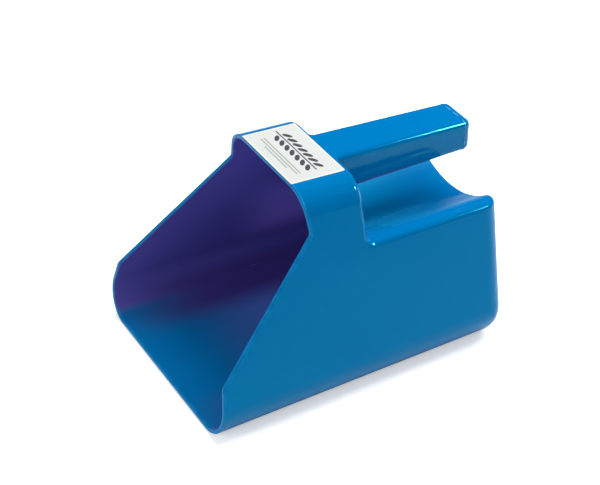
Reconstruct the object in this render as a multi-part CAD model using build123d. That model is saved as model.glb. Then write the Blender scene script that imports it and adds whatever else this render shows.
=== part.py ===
"""Enclosed feed scoop: one thin-walled moulding, a plug that closes its hollow handle, and a label.

Frame: +Z up, the mouth faces -Y, the handle points to +Y, the sides are mirror images about X = 0.
The floor lies on Z = 0 and the origin is the middle of the whole object's footprint.  Millimetres.
"""
import math
import os

from build123d import *

# Bowl of the scoop
BASE_HALF_WIDTH = 85.0        # widest half width of the cross-section, at the lip
BASE_LENGTH = 226.0           # lip to rear wall along the floor
FLOOR_CORNER_RADIUS = 21.5    # between the floor and each side wall
SIDE_LEAN = 16.3              # degrees that each side wall leans in towards the top
SIDE_DRAFT = 1.28             # degrees that each side closes in towards the rear
REAR_LEAN = 4.0               # degrees that the rear wall leans back
WALL = 3.0                    # wall thickness everywhere

# Rim of the mouth, in side view
LIP_HEIGHT = 41.3             # height of the lower kink
LIP_SETBACK = 6.2             # how far the lower kink stands behind the lip
BROW_DROP = 27.7              # upper kink, below the hood's top
BROW_RETREAT = 3.0            # upper kink, behind the hood's front edge
RIM_KINK_RADIUS = 5.0         # both kinks are rounded in side view
RIM_EDGE_RADIUS = 0.9         # softened edges of the rim

# Hood
HOOD_HEIGHT = 147.9           # top of the hood at its front edge
HOOD_FRONT = 81.6             # front edge of the hood's top, behind the lip
HOOD_LENGTH = 44.6            # front edge to rear face, along the top
TOP_FALL = 3.0                # degrees that the hood and handle tops fall towards the rear
HOOD_CORNER_RADIUS = 22.5     # between the hood's top and each side, where the handle leaves room

# Ridges and the finger trough between them
FINGER_GAP = 15.0             # ridge tops to the handle's underside, where they leave the hood
RIDGE_FALL = 1.0              # degrees that the ridges and trough fall towards the rear
RIDGE_LAND = 12.6             # flat top of each ridge, before any edge is rounded
TROUGH_DEPTH = 17.2           # below the ridge tops
CREST_RADIUS = 12.0           # between each ridge top and the trough
REAR_CORNER_RADIUS = 12.5     # all round the rear wall, up to the ridges
ROOT_RADIUS = 4.5             # inside corners where the hood's rear face meets the ridges and trough
EDGE_RADIUS = 4.2             # outside edges of the hood, ridges, rear wall and handle top

# Handle
HANDLE_ROOT_HALF_WIDTH = 17.2
HANDLE_END_HALF_WIDTH = 15.6
HANDLE_DEPTH = 31.4           # hood's top to the handle's underside
HANDLE_LENGTH = 108.7         # hood's rear face to the end of the plug
HANDLE_LOWER_RADIUS = 4.5     # lower edges, along the sides and round the end
HANDLE_END_RADIUS = 5.2       # upright edges of the closed end
HANDLE_ROOT_RADIUS = 1.6      # inside corner between the handle and the hood's rear face
BORE_EDGE_RADIUS = 2.5        # long edges of the hollow inside it

# Plug that closes the handle
PLUG_HEAD = 5.7               # thickness of the head that shows behind the seam
PLUG_TONGUE = 9.0             # length of the tongue inside the handle
PLUG_LEAD_IN = 0.8            # chamfer on the tongue's tip
PLUG_CLEARANCE = 0.15         # per side, tongue in the hollow handle
SEAM_CHAMFER = 0.3            # edge of the head, which leaves a fine line round the handle

# Label
LABEL_WIDTH = 66.4            # across the hood, seen from above
LABEL_FRONT_GAP = 0.5         # behind the hood's front edge
LABEL_REAR_GAP = 3.8          # in front of the hood's rear face
LABEL_THICKNESS = 0.2
LABEL_CORNER_RADIUS = 1.0

# Worked-out values, measured from the lip (Y = 0) until the parts are centred at the end
LEAN = math.radians(SIDE_LEAN)
DRAFT = math.tan(math.radians(SIDE_DRAFT))
FALL = math.tan(math.radians(TOP_FALL))
BROW_HEIGHT = HOOD_HEIGHT - BROW_DROP
BROW_SETBACK = HOOD_FRONT + BROW_RETREAT
HOOD_REAR = HOOD_FRONT + HOOD_LENGTH
HANDLE_BOTTOM = HOOD_HEIGHT - HANDLE_DEPTH
RIDGE_HEIGHT = HANDLE_BOTTOM - FINGER_GAP
HANDLE_END = HOOD_REAR + HANDLE_LENGTH
SEAM = HANDLE_END - PLUG_HEAD
REAR_SLOPE = math.tan(math.radians(REAR_LEAN))
RIDGE_SLOPE = math.tan(math.radians(RIDGE_FALL))
HANDLE_TAPER = (HANDLE_ROOT_HALF_WIDTH - HANDLE_END_HALF_WIDTH) / HANDLE_LENGTH
FRONT_REACH = -60.0           # cutting bodies start here, clear in front of the lip
REAR_REACH = BASE_LENGTH + 60.0
HIGH = HOOD_HEIGHT + 60.0     # cutting bodies reach this height, clear above the hood
WIDE = 2.0 * BASE_HALF_WIDTH
TOUCH = 0.05                  # edges nearer than this to a face count as on it
SHARP_ANGLE = 15.0            # degrees between two faces that make their edge a sharp one
LENGTHWISE = 0.9              # share of an edge's direction that is along Y, for a long edge


def top_height(y):
    """Height of the falling top face of the hood and handle."""
    return HOOD_HEIGHT - FALL * (y - HOOD_FRONT)


def ridge_height(y):
    return RIDGE_HEIGHT - RIDGE_SLOPE * (y - HOOD_REAR)


def rear_wall(z):
    return BASE_LENGTH + REAR_SLOPE * z


def handle_half_width(y):
    return HANDLE_ROOT_HALF_WIDTH - HANDLE_TAPER * (y - HOOD_REAR)


def side_wall_half_width(y, z):
    """Half width of the flat part of the side walls."""
    centre = BASE_HALF_WIDTH - FLOOR_CORNER_RADIUS - DRAFT * y
    return centre + FLOOR_CORNER_RADIUS / math.cos(LEAN) - (z - FLOOR_CORNER_RADIUS) * math.tan(LEAN)


def long_edges(shape, test):
    """Edges along the length of a shape whose middles pass a test."""
    return [edge for edge in shape.edges() if abs((edge % 0.5).Y) > LENGTHWISE and test(edge @ 0.5)]


def sharp_edges(shape, test):
    """Edges where two faces meet at an angle and whose middles pass a test."""
    found = []
    faces = [(face, face.edges()) for face in shape.faces()]
    for edge in shape.edges():
        middle = edge @ 0.5
        beside = [face for face, border in faces if any(edge.is_same(other) for other in border)]
        if len(beside) == 2 and test(middle):
            if beside[0].normal_at(middle).get_angle(beside[1].normal_at(middle)) > SHARP_ANGLE:
                found.append(edge)
    return found


def block(start, end, bottom, top):
    """Plain block over the whole width."""
    box = Box(2 * WIDE, end - start, top - bottom)
    return Pos(0, (start + end) / 2, (bottom + top) / 2) * box


def below(shape, point, normal, inset=0.0):
    """What is left of a shape on the inner side of a face, moved in by inset."""
    return split(shape, bisect_by=Plane(origin=point, z_dir=normal).offset(-inset), keep=Keep.BOTTOM)


def hood_corner_radius():
    """Radius of the hood's top corners, which leaves the flat top at least as wide as the handle."""
    half_top = side_wall_half_width(HOOD_REAR, top_height(HOOD_REAR))
    room = half_top - HANDLE_ROOT_HALF_WIDTH - 2 * EDGE_RADIUS
    half_turn = math.radians((90.0 - SIDE_LEAN) / 2)
    return min(HOOD_CORNER_RADIUS, room / math.tan(half_turn))


def hood_high_form(inset):
    """Bowl carried up to the hood's height along its whole length, open-ended at the front."""
    form = block(FRONT_REACH, REAR_REACH, inset, HIGH)
    spread = side_wall_half_width(0, 0)
    for side in (-1, 1):
        form = below(form, (side * spread, 0, 0), (side, DRAFT, math.tan(LEAN)), inset)
    form = below(form, (0, HOOD_FRONT, HOOD_HEIGHT), (0, FALL, 1), inset)
    form = below(form, (0, BASE_LENGTH, 0), (0, 1, -REAR_SLOPE), inset)
    form = form.fillet(FLOOR_CORNER_RADIUS - inset, long_edges(form, lambda middle: middle.Z < LIP_HEIGHT))
    form = form.fillet(hood_corner_radius() - inset, long_edges(form, lambda middle: middle.Z > BROW_HEIGHT))
    rear_face = form.faces().sort_by(Axis.Y)[-1]
    return form.fillet(REAR_CORNER_RADIUS - inset, rear_face.edges())


def behind_rim():
    """Everything behind the rim of the mouth."""
    rim = [(0, 0), (LIP_SETBACK, LIP_HEIGHT), (BROW_SETBACK, BROW_HEIGHT), (HOOD_FRONT, HOOD_HEIGHT)]
    over = (HOOD_FRONT - (BROW_SETBACK - HOOD_FRONT), 2 * HOOD_HEIGHT - BROW_HEIGHT)
    with BuildSketch(Plane.YZ) as sketch:
        with BuildLine():
            Polyline(*rim, over, (REAR_REACH, HIGH), (REAR_REACH, 0), close=True)
        make_face()
        for y, z in rim[1:3]:
            fillet(sketch.vertices().sort_by_distance(Vector(y, z, 0))[0], RIM_KINK_RADIUS)
    return extrude(sketch.sketch, WIDE, both=True)


def behind_hood(inset):
    """Space above the ridges and in the trough, taken away behind the hood."""
    face = HOOD_REAR - inset
    low = ridge_height(face) - inset / math.cos(math.radians(RIDGE_FALL))
    chord = side_wall_half_width(HOOD_REAR, RIDGE_HEIGHT) - RIDGE_LAND
    radius = (chord ** 2 + TROUGH_DEPTH ** 2) / (2 * TROUGH_DEPTH) + inset
    half_chord = math.sqrt(radius ** 2 - (radius - TROUGH_DEPTH) ** 2)
    with BuildSketch(Plane(origin=(0, face, low), x_dir=(1, 0, 0), z_dir=(0, -1, 0))) as sketch:
        with BuildLine():
            ThreePointArc((-half_chord, 0), (0, -TROUGH_DEPTH), (half_chord, 0))
            Polyline((half_chord, 0), (WIDE, 0), (WIDE, HIGH), (-WIDE, HIGH), (-WIDE, 0), (-half_chord, 0))
        make_face()
        crests = [corner for corner in sketch.vertices() if abs(abs(corner.X) - half_chord) < TOUCH]
        fillet(crests, CREST_RADIUS - inset)
    return extrude(sketch.sketch, REAR_REACH - face, dir=(0, 1, -RIDGE_SLOPE))


def handle_form(start, end, inset):
    """Tapered handle with sharp long edges, between two places along its length."""
    form = block(start, end, HANDLE_BOTTOM + inset, HIGH)
    for side in (-1, 1):
        form = below(form, (side * HANDLE_ROOT_HALF_WIDTH, HOOD_REAR, 0), (side, HANDLE_TAPER, 0), inset)
    return below(form, (0, HOOD_FRONT, HOOD_HEIGHT), (0, FALL, 1), inset)


def outer_form():
    """Outside of the scoop with its handle, rounded, as one solid without any hollow."""
    form = (hood_high_form(0.0) & behind_rim()) - behind_hood(0.0)
    corner = ridge_height(HOOD_REAR) + TOUCH
    root = [edge for edge in form.edges() if on_hood_rear(edge) and (edge @ 0.5).Z < corner]
    form = form.fillet(ROOT_RADIUS, root)
    handle = handle_form(HOOD_REAR - WALL, HANDLE_END, 0.0)
    upright = handle.faces().sort_by(Axis.Y)[-1].edges().filter_by(Axis.Z)
    handle = handle.fillet(HANDLE_END_RADIUS, upright)
    front_face = handle.faces().sort_by(Axis.Y)[0]
    lower = [edge for edge in handle.faces().sort_by(Axis.Z)[0].edges() if edge not in front_face.edges()]
    form = form + handle.fillet(HANDLE_LOWER_RADIUS, lower)
    junction = [edge for edge in form.edges() if on_hood_rear(edge) and at_handle(edge @ 0.5)]
    form = form.fillet(HANDLE_ROOT_RADIUS, junction)
    return form.fillet(EDGE_RADIUS, sharp_edges(form, behind_hood_face))


def on_hood_rear(edge):
    """True for an edge that lies in the hood's rear face."""
    return all(abs((edge @ place).Y - HOOD_REAR) < TOUCH for place in (0.0, 0.5, 1.0))


def at_handle(point):
    return point.Z > HANDLE_BOTTOM - TOUCH and abs(point.X) < HANDLE_ROOT_HALF_WIDTH + TOUCH


def behind_hood_face(point):
    return point.Y > HOOD_REAR - TOUCH


def on_rim(point):
    return point.Y < BROW_SETBACK + TOUCH


def handle_bore():
    """Hollow of the handle, from inside the hood to the seam."""
    bore = handle_form(HOOD_REAR - 2 * WALL, SEAM, WALL)
    return bore.fillet(BORE_EDGE_RADIUS, long_edges(bore, lambda middle: True))


def scoop_body(outside):
    """The moulding: bowl, hood, ridges and hollow handle, open at the mouth and at the seam."""
    cavity = hood_high_form(WALL) - behind_hood(WALL)
    shell = outside - block(SEAM, REAR_REACH, HANDLE_BOTTOM - WALL, HIGH) - cavity - handle_bore()
    return shell.fillet(RIM_EDGE_RADIUS, sharp_edges(shell, on_rim))


def handle_plug(outside):
    """Closes the handle: a head that carries on its outside, and a tongue inside the hollow."""
    head = outside & block(SEAM, REAR_REACH, HANDLE_BOTTOM - WALL, HIGH)
    seam_face = head.faces().sort_by(Axis.Y)[0]
    head = head.chamfer(SEAM_CHAMFER, None, seam_face.edges())
    play = WALL + PLUG_CLEARANCE
    half = handle_half_width(SEAM) - play
    tongue = block(SEAM - PLUG_TONGUE, SEAM + WALL, HANDLE_BOTTOM + play, top_height(SEAM) - play)
    tongue = tongue & Box(2 * half, 2 * REAR_REACH, 2 * HIGH)
    tongue = tongue.fillet(BORE_EDGE_RADIUS - PLUG_CLEARANCE, long_edges(tongue, lambda middle: True))
    tongue = tongue.chamfer(PLUG_LEAD_IN, None, tongue.faces().sort_by(Axis.Y)[0].edges())
    return head + tongue


def label():
    """Thin film that follows the hood's top and the start of its rounded corners."""
    skin = hood_high_form(-LABEL_THICKNESS) - hood_high_form(0.0)
    front = HOOD_FRONT + LABEL_FRONT_GAP
    rear = HOOD_REAR - LABEL_REAR_GAP
    outline = Pos(0, (front + rear) / 2) * RectangleRounded(LABEL_WIDTH, rear - front, LABEL_CORNER_RADIUS)
    return skin & (Pos(0, 0, BROW_HEIGHT) * extrude(outline, HOOD_HEIGHT))


def make_parts():
    """Every node by name, centred on the footprint."""
    outside = outer_form()
    parts = {"scoop_body": scoop_body(outside), "handle_plug": handle_plug(outside), "label": label()}
    length = outside.bounding_box()
    middle = (length.min.Y + length.max.Y) / 2
    return {name: Pos(0, -middle, 0) * shape for name, shape in parts.items()}


def write_parts():
    os.makedirs("parts", exist_ok=True)
    for name, shape in make_parts().items():
        shape.label = name
        export_step(shape, os.path.join("parts", name + ".step"))


write_parts()
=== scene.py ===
"""Looks of the enclosed feed scoop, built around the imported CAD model.  Metres, +Z up, mouth at -Y."""

import math

import bpy
from mathutils import Matrix, Vector


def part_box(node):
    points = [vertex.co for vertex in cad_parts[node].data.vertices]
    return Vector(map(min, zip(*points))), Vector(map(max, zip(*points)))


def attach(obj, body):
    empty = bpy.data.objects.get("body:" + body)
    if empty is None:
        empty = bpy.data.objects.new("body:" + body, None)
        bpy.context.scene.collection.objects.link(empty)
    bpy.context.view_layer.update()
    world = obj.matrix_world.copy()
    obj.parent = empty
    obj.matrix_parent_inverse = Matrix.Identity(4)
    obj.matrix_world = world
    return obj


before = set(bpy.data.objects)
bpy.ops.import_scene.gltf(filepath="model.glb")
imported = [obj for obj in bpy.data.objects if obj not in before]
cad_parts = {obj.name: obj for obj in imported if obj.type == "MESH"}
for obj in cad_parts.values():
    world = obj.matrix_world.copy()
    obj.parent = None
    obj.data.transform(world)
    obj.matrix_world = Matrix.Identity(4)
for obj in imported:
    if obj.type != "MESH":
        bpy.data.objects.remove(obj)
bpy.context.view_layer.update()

# ---- places on the moulding that the finishes follow, in metres
LIP = -0.11745                      # Y of the lip
RIM_LOW = (-0.11125, 0.0413)        # Y and Z of the rim's lower kink
RIM_HIGH = (-0.03285, 0.1202)       # Y and Z of the rim's upper kink
HOOD_FRONT = (-0.03585, 0.1479)     # Y and Z of the hood's front edge
HOOD_REAR = 0.00875                 # Y of the hood's rear face
BOWL_MIDDLE = (0.0, 0.0, 0.030)     # a point inside the bowl that all its inner faces look towards
RIDGE_TOP = 0.1020                  # Z of the two ridges
SEAM = 0.11175                      # Y where the plug's head starts

# ---- where a zone of the plastic starts or stops: 0 at the first number, 1 at the second
INNER_FACE = (0.0, 0.004)                               # how much a face looks at the bowl's middle
HANDLE_FROM = (HOOD_REAR + 0.001, HOOD_REAR + 0.002)    # Y
HANDLE_ABOVE = (RIDGE_TOP + 0.001, RIDGE_TOP + 0.003)   # Z
FLOOR_FACE = (0.80, 0.99)                               # the upward part of the normal
DEEP_FROM = (LIP + 0.030, LIP + 0.130)                  # Y
HOOD_ABOVE = (0.050, 0.110)                             # Z
HOOD_FROM = (LIP + 0.040, LIP + 0.100)                  # Y
JUNCTION_FACE = (0.20, 0.80)                            # the upward part of the normal
JUNCTION_ASIDE = (0.030, 0.056)                         # distance from the middle plane
JUNCTION_FROM = (LIP - 0.010, LIP + 0.075)              # Y
UNDERSIDE_FACE = (0.06, 0.62)                           # the downward part of the normal
UNDERSIDE_UNTIL = (HOOD_REAR + 0.040, HOOD_REAR + 0.080)    # Y
GLOW_FROM = (-0.030, 0.018)                             # Y
GLOW_ABOVE = (0.018, 0.045)                             # Z
GLOW_BELOW = (0.062, 0.096)                             # Z
TROUGH_FACE = (0.5, 0.8)                                # the upward part of the normal
TROUGH_FROM = (HOOD_REAR - 0.001, HOOD_REAR + 0.001)    # Y
TROUGH_UNTIL = (HOOD_REAR + 0.020, HOOD_REAR + 0.095)   # Y
TROUGH_BELOW = (0.094, 0.101)                           # Z
CREST_FACE = (0.002, 0.012)                             # how much a face looks at the middle plane
CREST_FROM = (HOOD_REAR + 0.010, HOOD_REAR + 0.040)     # Y
RIM_UNTIL = (0.0008, 0.0022)                            # distance behind the rim
WORN_UNTIL = (0.0006, 0.0030)                           # distance behind the rim

# ---- the thread of plastic at the plug's seam
FLASH_PROUD = 0.00020               # how far it stands off the handle
FLASH_WIDTH = 0.00075
FLASH_DEPTH = 0.0008
FLASH_CORNER = 0.0044               # radius of its corners
FLASH_CORNER_STEPS = 8
FLASH_CUTS = 5                      # cuts along each edge, so that it can be uneven
FLASH_UNEVEN = 0.00007
FLASH_SMOOTH = math.radians(60.0)

# ---- the label's print
CUT_EDGE = (0.0002, 0.0013)         # where the cream edge fades out, from the cut
EDGE_RAGGED = 0.0006
EAR_ASIDE = 0.0035                  # Y of the ear's stem from the label's middle
STEM_FROM, STEM_TO = -0.0290, 0.0250
STEM_HALF = (0.00040, 0.00060)      # its half width, from sharp to gone
KERNELS_REACH = 0.0238
KERNEL_PITCH = 0.0068
KERNEL_SHIFT = 20.5                 # cells between the label's middle and where they are counted from
KERNEL_OUT = 0.0040                 # from the stem
KERNEL_LEAN = math.radians(34.0)
KERNEL_HALF_LENGTH = 0.0038
KERNEL_HALF_WIDTH = 0.0017
KERNEL_EDGE = (0.88, 1.10)          # of the kernel's own size
RULE_HALF = (0.00028, 0.00048)      # a rule's half width, from sharp to gone
RULES = ((0.0082, 0.0245), (0.0106, 0.0245), (0.0130, 0.0150))  # distance from the middle, half length
SHARP = 0.0002                      # how soon print starts and stops

# ---- colours, linear
BLACK = (0.0, 0.0, 0.0)
MOULDED_BLUE = (0.0, 0.140, 0.380)
MILKY_BLUE = (0.0, 0.162, 0.410)        # thinner, paler flow of the melt
SHADED_BLUE = (0.095, 0.080, 0.390)     # painted shade: the inner walls, darker and violet as if in shade
PAINTED_HOOD_SHADE = (0.125, 0.108, 0.480)       # painted shade up under the hood, paler than on the walls
PAINTED_DEEP_SHADE = (0.105, 0.165, 0.570)      # painted shade: the violet cast of the floor far inside, where it lies in shade
PAINTED_CORNER_SHADE = (0.058, 0.042, 0.235)   # painted shade: the dark corner between floor and wall, deep inside
PAINTED_TROUGH_LIGHT = (0.0, 0.225, 0.490)       # painted light: the trough below the handle made paler, standing in for light coming through the thin wall
PAINTED_THROUGH_GLOW = (0.020, 0.015, 0.070)    # painted glow: emitted light standing in for light that comes through the hood from outside
PAINTED_UNDERSIDE_SHADE = (0.150, 0.062, 0.340)    # painted shade: the handle's underside, violet as if lit only by light bounced off the trough
SCUFFED_BLUE = (0.004, 0.230, 0.560)    # rubbed edges
THIN_BLUE = (0.060, 0.300, 0.620)       # hair-thin plastic at the seam
LABEL_WHITE = (0.535, 0.560, 0.548)
LABEL_GREY = (0.460, 0.480, 0.475)
LABEL_CREAM = (0.760, 0.720, 0.560)
PRINT_GREY = (0.060, 0.062, 0.070)
PRINT_GREEN = (0.130, 0.170, 0.120)
FLOOR_COOL = (0.86, 0.87, 0.86)
FLOOR_WARM = (0.90, 0.90, 0.89)
FLOOR_LIT = (1.0, 1.0, 0.985)
WHITE = (1.0, 1.0, 1.0, 1.0)

# ---- noise of each pattern: scale, detail and roughness
FLOW_NOISE = (16.0, 4.0, 0.55)
MOTTLE_NOISE = (260.0, 3.0, 0.6)
WORN_NOISE = (150.0, 3.0, 0.6)
SCUFF_NOISE = (38.0, 2.0, 0.5)
RIPPLE_NOISE = (110.0, 2.0, 0.4)
GRAIN_NOISE = (1400.0, 2.0, 0.5)
FLASH_NOISE = (240.0, 3.0, 0.6)
STAIN_NOISE = (420.0, 3.0, 0.6)
PAPER_NOISE = (900.0, 3.0, 0.6)
WAVE_NOISE = (90.0, 2.0, 0.5)
FLOOR_NOISE = (3.0, 2.0, 0.5)

# ---- where a noise starts to show and where it shows in full
FLOW_SHOWS = (0.35, 0.75)
MOTTLE_SHOWS = (0.45, 0.75)
WORN_SHOWS = (0.42, 0.62)
SCUFF_LINE = (0.70, 0.76)
FLASH_SHOWS = (0.45, 0.65)

# ---- bumps: strength, and depth in metres
RIPPLE_BUMP = (0.35, 0.0002)
GRAIN_BUMP = (0.10, 0.00003)
SCUFF_BUMP = (0.30, 0.00003)
WAVE_BUMP = (0.25, 0.0003)

# ---- roughness of the polished plastic, and what each mark adds to it
POLISHED = 0.055
FLOW_DULL = 0.04
SCUFF_DULL = 0.16
WORN_DULL = 0.10
INSIDE_DULL = 0.12
CREST_DULL = 0.40
RIM_DULL = 0.32

# ---- gloss
PLASTIC_IOR = 1.49
PLASTIC_SPECULAR = 0.32
PLASTIC_TINT = (0.025, 1.0, 1.0)        # keeps reflections on the plastic blue
LABEL_SPECULAR = 0.40

# ---- studio
FLOOR_SIZE = 14.0
FLOOR_SEEN = -0.00004                   # heights of the floor's two sheets
FLOOR_THROWING = -0.00008
FLOOR_GLOW = 0.45
ROOM_LIGHT = 0.36                       # strength of the room's light on the object
ROOM_SEEN = 1.0                         # and where the camera sees the room
SCOOP_MIDDLE = (0.0, 0.0, 0.05)
HANDLE_EDGE = (0.04, 0.08, 0.12)
CAMERA_PLACE = (0.8289, -0.4899, 0.7588)
CAMERA_TURN = math.radians(59.894)
CAMERA_DOWN = math.radians(35.623)
CAMERA_ROLL = math.radians(0.348)
CAMERA_LENS = 103.50                    # millimetres
CAMERA_SENSOR = 36.0                    # millimetres
CAMERA_REACH = 50.0


# ---- shader maths
class Socket:
    """An output socket; arithmetic on it adds Math nodes."""

    def __init__(self, finish, output):
        self.finish = finish
        self.output = output

    def math(self, operation, *values):
        inputs = dict(enumerate(values))
        return self.finish.node("ShaderNodeMath", {"operation": operation}, inputs)

    def __add__(self, other):
        return self.math("ADD", self, other)

    __radd__ = __add__

    def __sub__(self, other):
        return self.math("SUBTRACT", self, other)

    def __rsub__(self, other):
        return self.math("SUBTRACT", other, self)

    def __mul__(self, other):
        return self.math("MULTIPLY", self, other)

    __rmul__ = __mul__

    def __truediv__(self, other):
        return self.math("DIVIDE", self, other)

    def __neg__(self):
        return self.math("MULTIPLY", self, -1.0)

    def __abs__(self):
        return self.math("ABSOLUTE", self)

    def __pow__(self, other):
        return self.math("POWER", self, other)

    def lower(self, other):
        return self.math("MINIMUM", self, other)

    def higher(self, other):
        return self.math("MAXIMUM", self, other)

    def fraction(self):
        return self.math("FRACT", self)


class Finish:
    """One material and the nodes that make it."""

    def __init__(self, name):
        self.material = bpy.data.materials.new(name)
        self.material.use_nodes = True
        self.tree = self.material.node_tree
        self.tree.nodes.clear()

    def node(self, kind, settings=None, inputs=None, output=0):
        """Adds a node: its settings first, then the values or links of its sockets."""
        node = self.tree.nodes.new(kind)
        for name, value in (settings or {}).items():
            setattr(node, name, value)
        for name, value in (inputs or {}).items():
            socket = node.inputs[name]
            if isinstance(value, Socket):
                self.tree.links.new(value.output, socket)
            elif socket.type == "RGBA":
                socket.default_value = (*value, 1.0)
            else:
                socket.default_value = value
        return Socket(self, node.outputs[output]) if len(node.outputs) else None

    def place(self):
        return self.node("ShaderNodeTexCoord", output="Object")

    def facing(self):
        return self.node("ShaderNodeTexCoord", output="Normal")

    def axis(self, vector, name):
        return self.node("ShaderNodeSeparateXYZ", None, {0: vector}, name)

    def step(self, value, low, high):
        """0 up to low, 1 from high, smooth between them."""
        settings = {"interpolation_type": "SMOOTHSTEP"}
        return self.node("ShaderNodeMapRange", settings, {0: value, 1: low, 2: high})

    def fade(self, value, low, high):
        """1 up to low, 0 from high, smooth between them."""
        return 1.0 - self.step(value, low, high)

    def span(self, value, low, high):
        """1 between two values and 0 outside them."""
        return self.step(value, low, low + SHARP) * self.fade(value, high - SHARP, high)

    def vector(self, operation, first, second, output=0):
        settings = {"operation": operation}
        return self.node("ShaderNodeVectorMath", settings, {0: first, 1: second}, output)

    def noise(self, vector, scale, detail, roughness):
        inputs = {"Vector": vector, "Scale": scale, "Detail": detail, "Roughness": roughness}
        return self.node("ShaderNodeTexNoise", None, inputs)

    def blend(self, mask, first, second):
        """Colour first where the mask is 0 and second where it is 1."""
        inputs = {0: mask, 6: first, 7: second}
        return self.node("ShaderNodeMix", {"data_type": "RGBA"}, inputs, 2)

    def bump(self, height, strength, distance, under=None):
        inputs = {"Strength": strength, "Distance": distance, "Height": height}
        if under is not None:
            inputs["Normal"] = under
        return self.node("ShaderNodeBump", None, inputs)

    def surface(self, inputs):
        """Ends the material in one Principled shader."""
        shader = self.node("ShaderNodeBsdfPrincipled", None, inputs)
        self.node("ShaderNodeOutputMaterial", None, {"Surface": shader})
        return self.material


class Zones:
    """Masks over the moulding, each 1 in its zone and 0 outside it."""

    def __init__(self, finish, place):
        facing = finish.facing()
        x = finish.axis(place, "X")
        y = finish.axis(place, "Y")
        z = finish.axis(place, "Z")
        upward = finish.axis(facing, "Z")
        from_middle = finish.vector("SUBTRACT", place, BOWL_MIDDLE)
        outward = finish.vector("DOT_PRODUCT", facing, from_middle, "Value")
        inward = -(finish.axis(facing, "X") * x)

        handle = finish.step(y, *HANDLE_FROM) * finish.step(z, *HANDLE_ABOVE)
        self.inside = finish.step(-outward, *INNER_FACE) * (1.0 - handle)
        # painted shade: the inner walls take a darker, violet shaded blue
        self.inner_walls = self.inside * finish.fade(upward, *FLOOR_FACE)
        # painted shade: far inside the bowl the floor takes a violet shade tone
        self.deep = self.inside * finish.step(y, *DEEP_FROM)
        # painted shade: up under the hood the shaded blue is paler
        self.under_hood = finish.step(z, *HOOD_ABOVE) * finish.step(y, *HOOD_FROM)

        # painted shade: darker in the corner between floor and wall, deep inside
        junction = finish.step(upward, *JUNCTION_FACE) * finish.step(abs(x), *JUNCTION_ASIDE)
        self.junction = self.inside * junction * finish.step(y, *JUNCTION_FROM)

        # painted glow: a band inside, below the hood, that emits light
        glow = finish.step(z, *GLOW_ABOVE) * finish.fade(z, *GLOW_BELOW)
        self.painted_glow = self.inside * finish.step(y, *GLOW_FROM) * glow

        # painted shade: the handle's underside, which only faces the trough
        underside = finish.step(-upward, *UNDERSIDE_FACE) * finish.fade(y, *UNDERSIDE_UNTIL)
        self.under_handle = handle * underside

        # painted light: the trough below the handle is made paler
        trough = finish.step(y, *TROUGH_FROM) * finish.fade(y, *TROUGH_UNTIL)
        trough = trough * finish.fade(z, *TROUGH_BELOW) * finish.step(upward, *TROUGH_FACE)
        self.trough = trough * (1.0 - self.inside)

        crest = finish.step(y, *CREST_FROM) * finish.step(inward, *CREST_FACE)
        self.crest = crest * (1.0 - self.inside) * (1.0 - handle)

        behind = self.behind_rim(y, z)
        patches = finish.step(finish.noise(place, *WORN_NOISE), *WORN_SHOWS)
        self.rim = finish.fade(behind, *RIM_UNTIL)
        self.worn = finish.fade(behind, *WORN_UNTIL) * patches

    def behind_rim(self, y, z):
        """Distance behind the rim of the mouth, square to each of its straight runs."""

        def behind_run(start, end):
            along_y, along_z = (Vector(end) - Vector(start)).normalized()
            return (y - start[0]) * along_z - (z - start[1]) * along_y

        brow = behind_run(RIM_LOW, RIM_HIGH).higher(behind_run(RIM_HIGH, HOOD_FRONT))
        return brow.lower(behind_run((LIP, 0.0), RIM_LOW))


def scratches(finish, place, stretch, fineness, rarity):
    """Fine scuff lines along one direction: narrow bands of stretched noise, kept in patches."""
    stretched = finish.vector("MULTIPLY", place, stretch)
    lines = finish.noise(stretched, fineness, 2.0, 0.45)
    patches = finish.noise(place, *SCUFF_NOISE)
    return finish.step(lines, *SCUFF_LINE) * finish.step(patches, rarity, rarity + 0.12)


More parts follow.
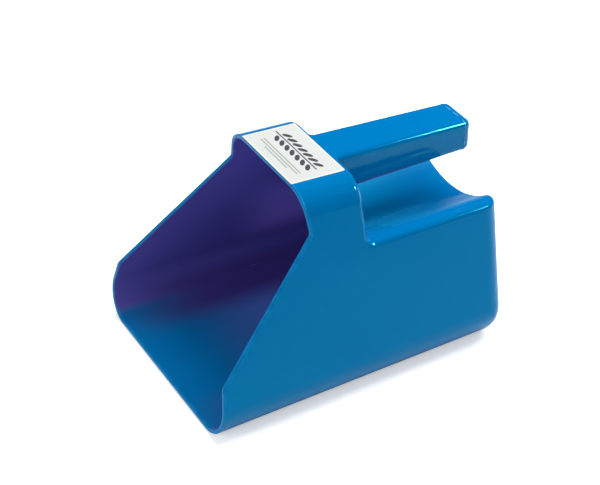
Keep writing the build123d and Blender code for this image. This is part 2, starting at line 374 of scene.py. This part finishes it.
def moulded_plastic(name):
    """Glossy polypropylene: flow marks, faint ripple, scuffs and a rubbed rim, with painted shade inside
    the bowl and under the handle, painted light in the trough and a painted glow below the hood.
    """
    finish = Finish(name)
    place = finish.place()
    zones = Zones(finish, place)

    drawn_out = finish.vector("MULTIPLY", place, (1.0, 0.45, 1.0))
    flow = finish.noise(drawn_out, *FLOW_NOISE)
    mottle = finish.noise(place, *MOTTLE_NOISE)
    milky = finish.step(flow, *FLOW_SHOWS) * 0.55 + finish.step(mottle, *MOTTLE_SHOWS) * 0.18
    # painted shade: the shaded blue of the inner walls, paler up under the hood
    painted_inner_shade = finish.blend(zones.under_hood, SHADED_BLUE, PAINTED_HOOD_SHADE)
    colour = finish.blend(milky, MOULDED_BLUE, MILKY_BLUE)
    # painted shade: violet cast on the floor far inside
    colour = finish.blend(zones.deep, colour, PAINTED_DEEP_SHADE)
    # painted shade on the inner walls
    colour = finish.blend(zones.inner_walls, colour, painted_inner_shade)
    # painted shade in the corner between floor and wall
    colour = finish.blend(zones.junction, colour, PAINTED_CORNER_SHADE)
    # painted shade on the handle's underside
    colour = finish.blend(zones.under_handle, colour, PAINTED_UNDERSIDE_SHADE)
    # painted light in the trough below the handle
    colour = finish.blend(zones.trough, colour, PAINTED_TROUGH_LIGHT)

    lengthwise = scratches(finish, place, stretch=(1.0, 0.045, 1.0), fineness=900.0, rarity=0.52)
    crosswise = scratches(finish, place, stretch=(0.08, 1.0, 0.16), fineness=760.0, rarity=0.60)
    scuffs = lengthwise.higher(crosswise)
    colour = finish.blend((scuffs * 0.30).higher(zones.worn * 0.35), colour, SCUFFED_BLUE)

    rough = POLISHED + flow * FLOW_DULL + scuffs * SCUFF_DULL + zones.worn * WORN_DULL
    rough = rough + zones.inside * INSIDE_DULL
    rough = rough + (zones.crest * CREST_DULL).higher(zones.rim * RIM_DULL)
    normal = finish.bump(finish.noise(place, *RIPPLE_NOISE), *RIPPLE_BUMP)
    normal = finish.bump(finish.noise(place, *GRAIN_NOISE), *GRAIN_BUMP, under=normal)
    normal = finish.bump(1.0 - scuffs, *SCUFF_BUMP, under=normal)
    return finish.surface({
        "Base Color": colour,
        "Roughness": rough,
        "IOR": PLASTIC_IOR,
        "Specular IOR Level": PLASTIC_SPECULAR,
        "Specular Tint": PLASTIC_TINT,
        # painted glow: the plastic emits a faint violet light inside, below the hood
        "Emission Color": finish.blend(zones.painted_glow, BLACK, PAINTED_THROUGH_GLOW),
        "Emission Strength": 1.0,
        "Normal": normal,
    })


def flash_plastic(name):
    """The same plastic where it is as thin as a hair: paler and duller."""
    finish = Finish(name)
    patches = finish.noise(finish.place(), *FLASH_NOISE)
    return finish.surface({
        "Base Color": finish.blend(finish.step(patches, *FLASH_SHOWS), MILKY_BLUE, THIN_BLUE),
        "Roughness": 0.22 + patches * 0.10,
        "IOR": PLASTIC_IOR,
    })


def ear_of_grain(finish, x, aside):
    """Mask of leaning kernels in pairs along a stem; aside is the distance from the stem."""
    cell = (x / KERNEL_PITCH + KERNEL_SHIFT).fraction() * KERNEL_PITCH - 0.5 * KERNEL_PITCH
    out = aside - KERNEL_OUT
    along = cell * math.cos(KERNEL_LEAN) + out * math.sin(KERNEL_LEAN)
    over = out * math.cos(KERNEL_LEAN) - cell * math.sin(KERNEL_LEAN)
    size = (along / KERNEL_HALF_LENGTH) ** 2.0 + (over / KERNEL_HALF_WIDTH) ** 2.0
    kernels = finish.fade(size, *KERNEL_EDGE) * finish.span(x, -KERNELS_REACH, KERNELS_REACH)
    stem = finish.fade(aside, *STEM_HALF) * finish.span(x, STEM_FROM, STEM_TO)
    return kernels.higher(stem)


def plain_rules(finish, x, along_label):
    """Mask of three thin rules beside the ear."""
    first, second, third = (
        finish.fade(abs(along_label + drop), *RULE_HALF) * finish.span(x, -reach, reach)
        for drop, reach in RULES
    )
    return first.higher(second).higher(third)


def printed_film(name):
    """Satin label film: off-white, cream at its cut edge, with an ear of grain and plain rules."""
    finish = Finish(name)
    place = finish.place()
    low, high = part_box("label")
    x = finish.axis(place, "X")
    along_label = finish.axis(place, "Y") - (low.y + high.y) / 2

    # how far inside the cut edge, and the cream that shows there
    margin = (high.x - abs(x)).lower((high.y - low.y) / 2 - abs(along_label))
    stain = finish.noise(place, *STAIN_NOISE)
    edge = finish.fade(margin - stain * EDGE_RAGGED, *CUT_EDGE)
    paper = finish.noise(place, *PAPER_NOISE)
    colour = finish.blend(paper * 0.25, LABEL_WHITE, LABEL_GREY)
    colour = finish.blend(edge * 0.85, colour, LABEL_CREAM)

    ear = ear_of_grain(finish, x, abs(along_label - EAR_ASIDE))
    colour = finish.blend(ear, colour, PRINT_GREY)
    colour = finish.blend(plain_rules(finish, x, along_label) * 0.8, colour, PRINT_GREEN)

    return finish.surface({
        "Base Color": colour,
        "Roughness": 0.34 + paper * 0.10,
        "Specular IOR Level": LABEL_SPECULAR,
        "Normal": finish.bump(finish.noise(place, *WAVE_NOISE), *WAVE_BUMP),
    })


def dress(node, material):
    """Gives a CAD node one material all over."""
    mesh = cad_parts[node].data
    mesh.materials.clear()
    mesh.materials.append(material)


def pick(piece, kind, test):
    """Opens a piece in edit mode with only the faces or edges that pass a test selected."""
    bpy.ops.object.mode_set(mode="EDIT")
    bpy.ops.mesh.select_mode(type=kind)
    bpy.ops.mesh.select_all(action="DESELECT")
    bpy.ops.object.mode_set(mode="OBJECT")
    for item in piece.data.polygons if kind == "FACE" else piece.data.edges:
        item.select = test(item)
    bpy.ops.object.mode_set(mode="EDIT")


def seam_flash():
    """Uneven thread of plastic squeezed out of the seam, all round the handle."""
    low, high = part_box("handle_plug")
    half = high.x + FLASH_PROUD
    bottom = low.z - FLASH_PROUD
    top = high.z + FLASH_PROUD
    bpy.ops.object.select_all(action="DESELECT")
    bpy.ops.mesh.primitive_cube_add(
        size=1.0,
        location=(0.0, SEAM, (bottom + top) / 2),
        scale=(2 * half, FLASH_WIDTH, top - bottom),
    )
    flash = bpy.context.object
    flash.name = "seam_flash"
    bpy.ops.object.transform_apply(location=True, rotation=True, scale=True)

    def lengthwise(edge):
        first, second = (flash.data.vertices[number].co for number in edge.vertices)
        return abs(first.y - second.y) > FLASH_WIDTH / 2

    pick(flash, "EDGE", lengthwise)
    bpy.ops.mesh.bevel(offset=FLASH_CORNER, segments=FLASH_CORNER_STEPS, affect="EDGES")
    pick(flash, "FACE", lambda face: abs(face.normal.y) > 0.9)
    bpy.ops.mesh.inset(thickness=FLASH_DEPTH)
    bpy.ops.mesh.bridge_edge_loops()
    bpy.ops.mesh.select_all(action="SELECT")
    bpy.ops.mesh.subdivide(number_cuts=FLASH_CUTS)
    bpy.ops.transform.vertex_random(offset=FLASH_UNEVEN, seed=4)
    bpy.ops.mesh.normals_make_consistent(inside=False)
    bpy.ops.object.mode_set(mode="OBJECT")
    bpy.ops.object.shade_smooth_by_angle(angle=FLASH_SMOOTH)
    flash.data.materials.append(flash_plastic("seam_plastic"))
    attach(flash, "root")


def floor_sheet(name, height, glow):
    """One wide pale sheet of the studio floor."""
    bpy.ops.object.select_all(action="DESELECT")
    bpy.ops.mesh.primitive_plane_add(size=FLOOR_SIZE, location=(0.0, 0.0, height))
    sheet = bpy.context.object
    sheet.name = name
    finish = Finish(name)
    tone = finish.noise(finish.place(), *FLOOR_NOISE)
    sheet.data.materials.append(finish.surface({
        "Base Color": finish.blend(tone, FLOOR_COOL, FLOOR_WARM),
        "Roughness": 0.9,
        "Specular IOR Level": 0.0,
        "Emission Color": FLOOR_LIT,
        "Emission Strength": glow,
    }))
    return sheet


def lay_floor():
    """Pale floor in two sheets: one is seen and glows, the other only throws light back."""
    seen = floor_sheet("floor", FLOOR_SEEN, FLOOR_GLOW)
    seen.visible_diffuse = False
    seen.visible_glossy = False
    seen.visible_shadow = False
    throwing = floor_sheet("floor_bounce", FLOOR_THROWING, 0.0)
    throwing.visible_camera = False


def soft_light(name, place, target, size, power, mirrored=False):
    """Soft box that looks at a point; mirrored says whether gloss shows its reflection."""
    lamp = bpy.data.lights.new(name, "AREA")
    lamp.shape = "RECTANGLE"
    lamp.size, lamp.size_y = size
    lamp.energy = power
    box = bpy.data.objects.new(name, lamp)
    bpy.context.scene.collection.objects.link(box)
    box.visible_glossy = mirrored
    aim = Vector(place) - Vector(target)
    box.location = place
    box.rotation_euler = aim.to_track_quat("Z", "Y").to_euler()
    return box


def light_room():
    """White room: bright where the camera sees it, dimmer as light, and never mirrored."""
    world = bpy.data.worlds.new("studio")
    bpy.context.scene.world = world
    world.use_nodes = True
    world.cycles_visibility.glossy = False
    nodes = world.node_tree.nodes
    links = world.node_tree.links
    dim = nodes["Background"]
    bright = nodes.new("ShaderNodeBackground")
    for background, strength in ((dim, ROOM_LIGHT), (bright, ROOM_SEEN)):
        background.inputs["Color"].default_value = WHITE
        background.inputs["Strength"].default_value = strength
    ray = nodes.new("ShaderNodeLightPath")
    choice = nodes.new("ShaderNodeMixShader")
    links.new(ray.outputs["Is Camera Ray"], choice.inputs[0])
    links.new(dim.outputs[0], choice.inputs[1])
    links.new(bright.outputs[0], choice.inputs[2])
    links.new(choice.outputs[0], nodes["World Output"].inputs["Surface"])


def hang_lights():
    """Three soft boxes that gloss doesn't show, and a strip that only glints on the edges."""
    soft_light("overhead", (-0.25, 0.75, 1.15), SCOOP_MIDDLE, size=(1.2, 1.2), power=30.5)
    soft_light("front_fill", (0.10, -1.30, 0.55), SCOOP_MIDDLE, size=(0.9, 0.6), power=8.0)
    soft_light("side_fill", (1.30, 0.45, 1.05), SCOOP_MIDDLE, size=(0.6, 0.6), power=1.2)
    glint = soft_light(
        "glint", (0.80, 1.06, 1.08), HANDLE_EDGE, size=(0.30, 0.05), power=40.0, mirrored=True)
    glint.visible_diffuse = False


def stand_camera():
    lens = bpy.data.cameras.new("camera")
    lens.sensor_width = CAMERA_SENSOR
    lens.lens = CAMERA_LENS
    lens.clip_end = CAMERA_REACH
    camera = bpy.data.objects.new("camera", lens)
    bpy.context.scene.collection.objects.link(camera)
    camera.location = CAMERA_PLACE
    turn = Matrix.Rotation(CAMERA_TURN, 4, "Z")
    tilt = Matrix.Rotation(math.pi / 2 - CAMERA_DOWN, 4, "X")
    roll = Matrix.Rotation(CAMERA_ROLL, 4, "Z")
    camera.rotation_euler = (turn @ tilt @ roll).to_euler()
    bpy.context.scene.camera = camera


bpy.context.scene.view_settings.view_transform = "Standard"
dress("scoop_body", moulded_plastic("scoop_plastic"))
dress("handle_plug", moulded_plastic("plug_plastic"))
dress("label", printed_film("label_film"))
seam_flash()
lay_floor()
light_room()
hang_lights()
stand_camera()
